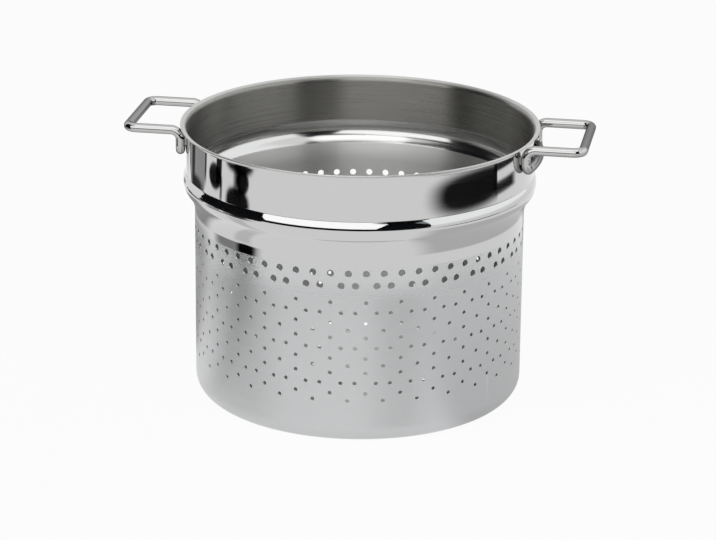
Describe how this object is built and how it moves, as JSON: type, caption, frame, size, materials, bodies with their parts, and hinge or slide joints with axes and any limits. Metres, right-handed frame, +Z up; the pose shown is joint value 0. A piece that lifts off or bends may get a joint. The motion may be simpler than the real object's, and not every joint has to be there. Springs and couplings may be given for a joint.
{
  "type": "strainer insert",
  "caption": "Perforated strainer insert for a pasta pot: a drawn steel basket with a polished collar, a pressed stop bead, a flared lip and welded rod loop handles at its sides.",
  "frame": {"origin": "centre of the underside of the base, on the basket's axis", "axes": "+Z up along the basket's axis, +X through the middle of the right-hand loop, +Y away from the viewer"},
  "size_m": [0.3216, 0.249, 0.1944],
  "materials": {
    "body_steel": "satin wall and inside, mirror polished collar and bead",
    "handle_steel": "polished rod",
    "weld_steel": "as welded"
  },
  "bodies": {
    "root": {"strainer_body": "body_steel", "handle_right": "handle_steel", "handle_left": "handle_steel", "welds_right": "weld_steel", "welds_left": "weld_steel"}
  },
  "joints": []
}
